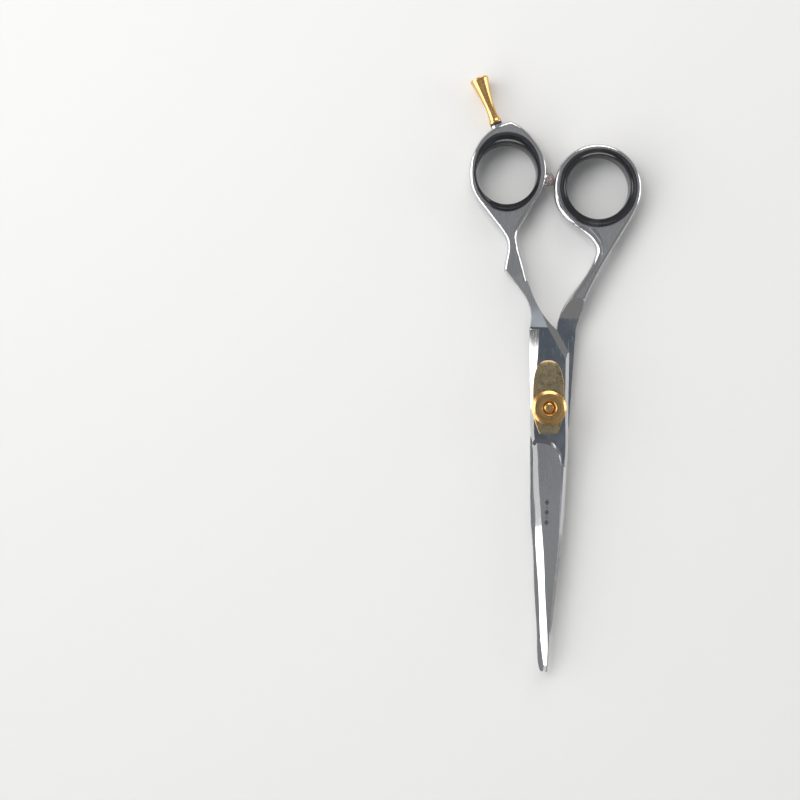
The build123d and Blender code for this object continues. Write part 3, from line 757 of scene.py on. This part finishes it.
def plate_grid(sizes):
    """The leaf spring: a sheet between its outline and its hole.  Every ray from the pivot
    meets both once.  Its height bows as a parabola along Y, its edges stand up a little with
    the cube of the share out from the hole, and its top end is thinned to a bright lip."""
    low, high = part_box("spring_plate")
    top, foot = 14.15 * MM, -7.75 * MM
    width = 4.68 * MM
    y = np.linspace(foot, top, 900)
    half = plate_half_width(y, top, foot, width)
    side = np.linspace(half[0], 0.0, 60)[1:]
    rim_x = np.concatenate([side[::-1], half])
    rim_y = np.concatenate([np.full(59, foot), y])
    rim_angle = np.arctan2(rim_y, rim_x)
    rim_radius = np.hypot(rim_x, rim_y)
    angles = around(288)
    folded = np.where(np.cos(angles) >= 0, angles, math.pi - angles)
    folded = (folded + math.pi) % (2 * math.pi) - math.pi
    outer = np.interp(folded, rim_angle, rim_radius)
    inner = np.full_like(outer, 2.06 * MM)
    thick = 0.5 * MM

    def ring(share, inset, height):
        reach = inner + (outer - inner) * share - inset
        return reach, np.full_like(reach, share), np.full_like(reach, height)

    shares = np.linspace(0.06, 0.94, 14)
    rings = [ring(0.0, -0.02 * MM, thick - 0.1 * MM), ring(0.0, -0.12 * MM, thick)]
    rings += [ring(s, 0.0, thick) for s in shares]
    rings += [ring(1.0, 0.16 * MM, thick), ring(1.0, 0.07 * MM, thick - 0.03 * MM),
              ring(1.0, 0.015 * MM, thick - 0.10 * MM), ring(1.0, 0.0, thick - 0.2 * MM),
              ring(1.0, 0.0, 0.14 * MM), ring(1.0, 0.1 * MM, 0.0)]
    rings += [ring(s, 0.0, 0.0) for s in shares[::-1]]
    rings += [ring(0.0, -0.1 * MM, 0.0), ring(0.0, -0.02 * MM, 0.1 * MM)]
    reach = np.array([r[0] for r in rings])
    share = np.array([r[1] for r in rings])
    height = np.array([r[2] for r in rings])
    x = reach * np.cos(angles)
    y = reach * np.sin(angles)
    mid, span = 0.5 * (top + foot), 0.5 * (top - foot)
    bow = (high.z - low.z - thick - sizes.plate_dish) * (1.0 - ((y - mid) / span) ** 2)
    thinned = 1.0 - 0.62 * np.clip((y - 12.7 * MM) / (1.4 * MM), 0.0, 1.0) ** 1.5
    z = low.z + 0.004 * MM + height * thinned + bow + sizes.plate_dish * share ** 3
    cos, sin = math.cos(LYING_TURN), math.sin(LYING_TURN)
    return np.stack([cos * x - sin * y, sin * x + cos * y, z], axis=-1)


def rest_grid(sizes):
    """The finger rest: a flared spool turned about its own axis, with a rounded foot and a
    shallow dished end.  Its radius is the waist, plus a swelling that dies away from the foot,
    plus a power of the share along it, less two fine bell-shaped turned lines."""
    foot = Vector(JOINTS["rest_turn"]["pos_m"])
    axis = Vector(JOINTS["rest_turn"]["axis"]).normalized()
    tall = 14.4 * MM
    groove = sizes.rest_groove
    along = np.linspace(0.9 * MM, tall - 0.95 * MM, 60)
    share = along / tall
    waist, flare, base = 1.3 * MM, 2.8 * MM, 1.88 * MM
    swell = (base - waist) * np.exp(-(share / 0.13) ** 1.3)
    open_out = (flare - waist) * np.clip((share - 0.22) / 0.73, 0.0, 1.0) ** 1.75
    radius = waist + swell + open_out
    for place in (0.085, 0.915):
        radius -= groove * np.exp(-((share - place) / 0.008) ** 2)
    body = np.stack([radius, along], axis=-1)
    start = eased([(0.2 * MM, 0.0), (base - 0.02 * MM, 0.0), (base, 0.55 * MM),
                   (radius[0], along[0])], 0.16 * MM, closed=False)
    end = eased([(radius[-1], along[-1]), (flare, tall - 0.72 * MM),
                 (flare - 0.1 * MM, tall - 0.16 * MM), (flare - 0.75 * MM, tall),
                 (flare - 1.2 * MM, tall - 0.22 * MM), (0.2 * MM, tall - 0.30 * MM)],
                0.25 * MM, closed=False)
    profile = np.vstack([start[:-1], body, end[1:]])
    return turned_grid(profile, around(96), foot, axis)


def bumper_grid(sizes):
    """The bumper: a domed plug with rounded ribs.  Its radius is the body's less a raised
    cosine along the ribbed length.  Past the ribs it narrows as part of an ellipse."""
    low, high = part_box("bumper")
    centre, half = middle("bumper"), half_size("bumper")
    stem = 1.1 * MM
    nose = high.x - low.x - stem
    ribs_end, rib_deep = 0.66 * nose, 0.24 * MM
    along = np.linspace(0.0, nose, 70)
    wave = 0.5 - 0.5 * np.cos(2 * math.pi * sizes.bumper_ribs * along / ribs_end)
    ribs = half.y - rib_deep * (1.0 - wave)
    tip = np.clip((along - ribs_end) / (nose - ribs_end), 0.0, 1.0)
    dome = (half.y - rib_deep) * np.sqrt(1.0 - 0.72 * tip ** 2)
    radius = np.where(along < ribs_end, ribs, dome)
    body = np.stack([radius, along], axis=-1)
    profile = np.vstack([[(0.3 * MM, -stem), (0.98 * MM, -stem + 0.1 * MM), (0.98 * MM, -0.05 * MM),
                          (half.y - 0.5 * MM, -0.02 * MM)], body,
                         [(0.75 * MM, nose)]])
    origin = (low.x + stem, centre.y, centre.z)
    return turned_grid(profile, around(64), origin, (1, 0, 0))


# ---- operators -----------------------------------------------------------------------------


class SHEARS_OT_blades(bpy.types.Operator):
    """Give both halves their polished and satin steel"""

    bl_idname = "shears.blades"
    bl_label = "Blades and rings"

    def execute(self, context):
        steel = kept("Polished steel", build_steel)
        dress("finger_blade", steel)
        dress("thumb_blade", steel)
        return {"FINISHED"}


class SHEARS_OT_inserts(bpy.types.Operator):
    """Make the two moulded ring inserts"""

    bl_idname = "shears.inserts"
    bl_label = "Ring inserts"

    def execute(self, context):
        sizes = context.scene.shears_sizes
        black = kept("Glossy black", build_black)
        for side in ("finger", "thumb"):
            node = side + "_insert"
            grid = insert_grid(node, MOUNTS[side + "_hole"], sizes)
            piece = add_shell(side + "_ring_insert", grid, True, black)
            settle(piece, side + "_side", node)
        return {"FINISHED"}


class SHEARS_OT_knob(bpy.types.Operator):
    """Make the turned tension knob and finish the screw under it"""

    bl_idname = "shears.knob"
    bl_label = "Tension knob and screw"

    def execute(self, context):
        gold = kept("Turned gold", build_knob_gold)
        knob = add_shell("turned_knob", knob_grid(context.scene.shears_sizes), True, gold)
        settle(knob, "knob", "tension_knob")
        dress("pivot_screw", gold)
        return {"FINISHED"}


class SHEARS_OT_plate(bpy.types.Operator):
    """Make the bowed leaf spring under the knob"""

    bl_idname = "shears.plate"
    bl_label = "Spring plate"

    def execute(self, context):
        plate = add_shell("leaf_spring", plate_grid(context.scene.shears_sizes), True,
                          kept("Tumbled gold", build_spring))
        settle(plate, "finger_side", "spring_plate")
        return {"FINISHED"}


class SHEARS_OT_washers(bpy.types.Operator):
    """Finish the pivot's washers and bush"""

    bl_idname = "shears.washers"
    bl_label = "Washers and bush"

    def execute(self, context):
        pale = kept("Pale slip plastic", build_washer)
        dress("head_washer", pale)
        dress("knob_washer", pale)
        dress("pivot_bush", kept("Bearing bronze", build_bronze))
        dress("rest_washer", kept("Dark rubber", build_rubber))
        return {"FINISHED"}


class SHEARS_OT_finger_rest(bpy.types.Operator):
    """Make the flared finger rest"""

    bl_idname = "shears.finger_rest"
    bl_label = "Finger rest"

    def execute(self, context):
        rest = add_shell("flared_rest", rest_grid(context.scene.shears_sizes), False,
                         kept("Spun gold", build_rest_gold))
        settle(rest, "rest", "finger_rest")
        return {"FINISHED"}


class SHEARS_OT_bumper(bpy.types.Operator):
    """Make the ribbed bumper between the rings"""

    bl_idname = "shears.bumper"
    bl_label = "Bumper"

    def execute(self, context):
        bumper = add_shell("ribbed_bumper", bumper_grid(context.scene.shears_sizes), False,
                           kept("Cloudy clear", build_clear))
        settle(bumper, "finger_side", "bumper")
        return {"FINISHED"}


def floor_finish(tint):
    """Plain pale floor with a barely uneven tone."""
    material, wire, shader, coords = fresh_material("floor_paint")
    cloud = wire.noise(coords.outputs["Object"], 5.0, 3.0)
    wire.feed(wire.mix(cloud, rgba([0.98 * v for v in tint]), rgba(tint)),
              shader.inputs["Base Color"])
    shader.inputs["Roughness"].default_value = 0.85
    shader.inputs["Specular IOR Level"].default_value = 0.2
    return material


def soft_box(wire, direction, towards, width):
    """A round patch of sky about a direction: full inside and gone at its width in degrees."""
    towards = Vector(towards).normalized()
    near = math.cos(math.radians(width * SOFT_EDGE))
    far = math.cos(math.radians(width))
    return wire.step(wire.dot(direction, tuple(towards)), far, near)


def build_sky():
    """Studio light from all round: a dark blue-grey patch overhead, a pale ring round it, a
    grey dome, soft boxes low on the left, right and far sides, and a dark one on the near
    side."""
    world = bpy.data.worlds.new("Studio")
    bpy.context.scene.world = world
    world.use_nodes = True
    tree = world.node_tree
    tree.nodes.clear()
    wire = Wiring(tree)
    output = wire.add("ShaderNodeOutputWorld")
    background = wire.add("ShaderNodeBackground")
    wire.feed(background.outputs[0], output.inputs["Surface"])
    direction = wire.add("ShaderNodeTexCoord").outputs["Generated"]
    up = wire.split(direction)[2]
    angle = wire.math("DEGREES", wire.math("ARCCOSINE", up))
    ramp = wire.add("ShaderNodeValToRGB")
    wire.feed(wire.math("DIVIDE", angle, 90.0, clamp=True), ramp.inputs[0])
    stops = (
        (0.0, (0.09, 0.11, 0.14)),
        (7.0, (0.12, 0.14, 0.17)),
        (9.0, (0.20, 0.21, 0.23)),
        (12.0, (0.60, 0.64, 0.70)),
        (20.0, (0.30, 0.30, 0.32)),
        (35.0, (0.27, 0.27, 0.27)),
        (60.0, (0.28, 0.28, 0.28)),
        (90.0, (0.42, 0.42, 0.42)),
    )
    elements = ramp.color_ramp.elements
    elements[0].position, elements[0].color = 0.0, rgba(stops[0][1])
    elements[1].position, elements[1].color = 1.0, rgba(stops[-1][1])
    for degrees, tint in stops[1:-1]:
        elements.new(degrees / 90.0).color = rgba(tint)
    sky = ramp.outputs[0]
    for towards, width, tint in (
        ((-1.0, 0.05, 0.36), 30.0, (3.6, 3.6, 3.6)),
        ((-0.9, -0.75, 0.34), 22.0, (3.4, 3.4, 3.4)),
        ((1.0, 0.15, 0.24), 20.0, (3.2, 3.2, 3.25)),
        ((0.1, 1.0, 0.50), 24.0, (3.2, 3.1, 3.0)),
        ((0.0, -1.0, 0.20), 26.0, (0.16, 0.16, 0.18)),
    ):
        sky = wire.mix(soft_box(wire, direction, towards, width), sky, rgba(tint))
    wire.feed(sky, background.inputs["Color"])
    background.inputs["Strength"].default_value = 1.0


class SHEARS_OT_stage(bpy.types.Operator):
    """Lay the floor, light it and place the camera over the shears"""

    bl_idname = "shears.stage"
    bl_label = "Stage"

    def execute(self, context):
        stage = context.scene.shears_stage
        mesh = bpy.data.meshes.new("Floor")
        corners = [(FLOOR_REACH * x, FLOOR_REACH * y, 0)
                   for x, y in ((-1, -1), (1, -1), (1, 1), (-1, 1))]
        mesh.from_pydata(corners, [], [(0, 1, 2, 3)])
        mesh.materials.append(floor_finish(stage.floor))
        floor = bpy.data.objects.new("Floor", mesh)
        context.scene.collection.objects.link(floor)
        build_sky()

        key = bpy.data.lights.new("Key", "AREA")
        key.size = LAMP_SIZE
        key.energy = stage.key_power
        lamp = bpy.data.objects.new("Key", key)
        context.scene.collection.objects.link(lamp)
        lamp.location = LAMP_PLACE
        aim = -lamp.location
        lamp.rotation_euler = aim.to_track_quat("-Z", "Y").to_euler()
        lamp.visible_glossy = False

        camera_data = bpy.data.cameras.new("Camera")
        camera_data.sensor_width = 36.0
        camera_data.lens = camera_data.sensor_width * stage.distance / stage.view
        camera = bpy.data.objects.new("Camera", camera_data)
        context.scene.collection.objects.link(camera)
        camera.location = (*VIEW_CENTRE, RIDE_Z + stage.distance)
        camera.rotation_euler = (0.0, 0.0, LYING_TURN)
        context.scene.camera = camera
        context.scene.view_settings.view_transform = "Standard"
        return {"FINISHED"}


OPERATORS = (
    SHEARS_OT_blades,
    SHEARS_OT_inserts,
    SHEARS_OT_plate,
    SHEARS_OT_knob,
    SHEARS_OT_washers,
    SHEARS_OT_finger_rest,
    SHEARS_OT_bumper,
    SHEARS_OT_stage,
)
GROUPS = {
    "shears_colours": ShearsColours,
    "shears_sizes": ShearsSizes,
    "shears_stage": ShearsStage,
}


class SHEARS_PT_panel(bpy.types.Panel):
    """The shears' pieces, sizes and colours"""

    bl_idname = "SHEARS_PT_panel"
    bl_label = "Thinning shears"
    bl_space_type = "VIEW_3D"
    bl_region_type = "UI"
    bl_category = "Shears"

    def draw(self, context):
        layout = self.layout
        for name, group in GROUPS.items():
            box = layout.box()
            box.label(text=group.__doc__.strip("."))
            for prop in group.__annotations__:
                box.prop(getattr(context.scene, name), prop)
        for operator in OPERATORS:
            layout.operator(operator.bl_idname)


def register():
    """Register the property groups, operators and panel."""
    for name, group in GROUPS.items():
        bpy.utils.register_class(group)
        setattr(bpy.types.Scene, name, bpy.props.PointerProperty(type=group))
    for operator in OPERATORS:
        bpy.utils.register_class(operator)
    bpy.utils.register_class(SHEARS_PT_panel)


def unregister():
    """Take back all that register added."""
    bpy.utils.unregister_class(SHEARS_PT_panel)
    for operator in reversed(OPERATORS):
        bpy.utils.unregister_class(operator)
    for name, group in GROUPS.items():
        delattr(bpy.types.Scene, name)
        bpy.utils.unregister_class(group)


def main():
    """Make every piece in order."""
    register()
    bpy.ops.shears.blades()
    bpy.ops.shears.inserts()
    bpy.ops.shears.plate()
    bpy.ops.shears.knob()
    bpy.ops.shears.washers()
    bpy.ops.shears.finger_rest()
    bpy.ops.shears.bumper()
    bpy.ops.shears.stage()


if __name__ == "__main__":
    main()
